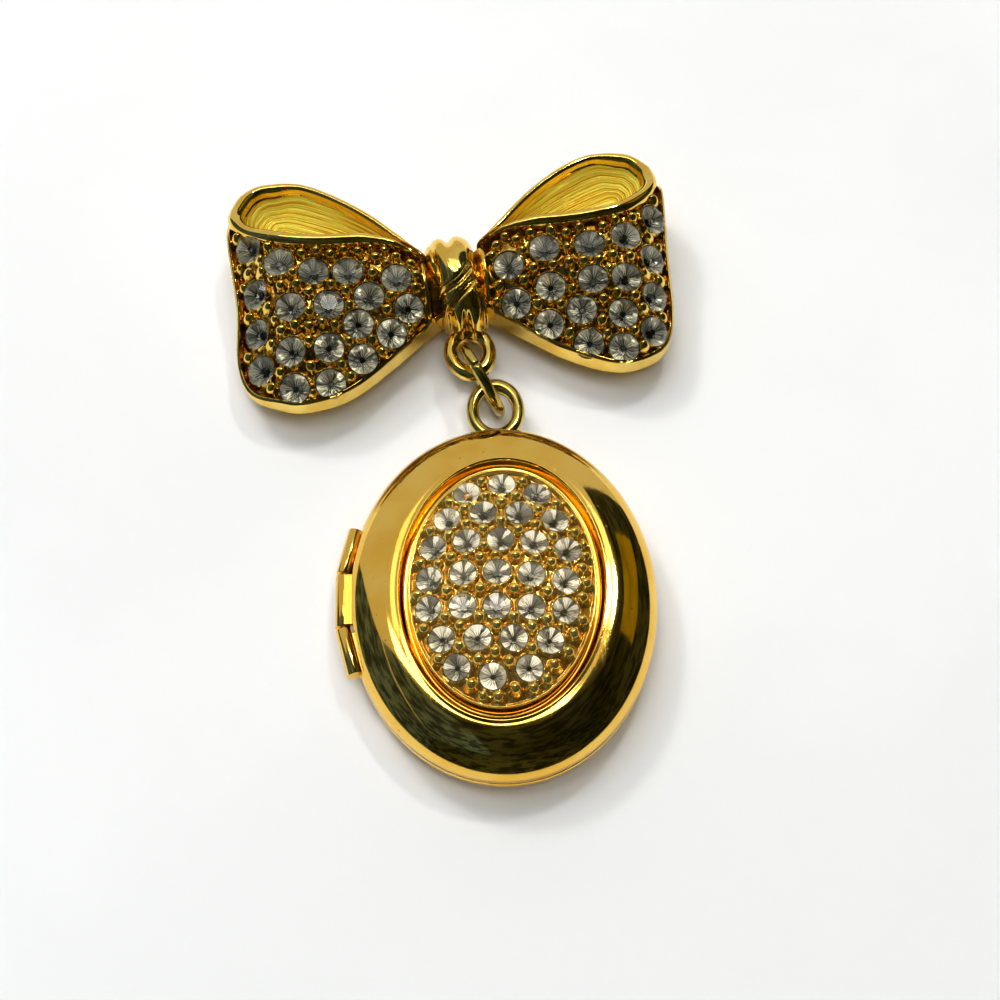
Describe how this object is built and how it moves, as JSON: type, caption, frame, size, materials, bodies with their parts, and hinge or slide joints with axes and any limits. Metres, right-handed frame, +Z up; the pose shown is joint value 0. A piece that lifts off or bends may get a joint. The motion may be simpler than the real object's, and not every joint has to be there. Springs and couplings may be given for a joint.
{
  "type": "bow brooch with hinged oval locket",
  "caption": "Cast bow brooch set with clear round stones, with an oval hinged locket on a jump ring and a domed stone-set plaque sunk in the locket's cover.",
  "frame": {"origin": "centre of the flat on the locket's back, on the surface the brooch lies on", "axes": "+Z up out of the front, +Y along the locket towards the bow, the locket's hinge on the -X side"},
  "size_m": [0.041, 0.0618, 0.0089],
  "materials": {
    "bow_gold": "polished gold plate",
    "locket_gold": "mirror-polished gold plate",
    "plaque_gold": "bright cast gold plate",
    "finding_gold": "polished gold plate",
    "clear_stone": "faceted clear glass"
  },
  "bodies": {
    "brooch": {"bow": "bow_gold", "left_stones": "clear_stone", "right_stones": "clear_stone", "pin_back": "finding_gold", "jump_ring": "finding_gold", "locket_back": "locket_gold", "hinge_pin": "finding_gold"},
    "lid": {"locket_front": "locket_gold", "plaque": "plaque_gold", "plaque_stones": "clear_stone"}
  },
  "joints": [
    {"name": "locket_hinge", "type": "hinge", "parent": "brooch", "child": "lid", "pos_m": [-0.0134, 0.0002, 0.00305], "axis": [0, -1, 0], "range_deg": [0, 150]}
  ]
}
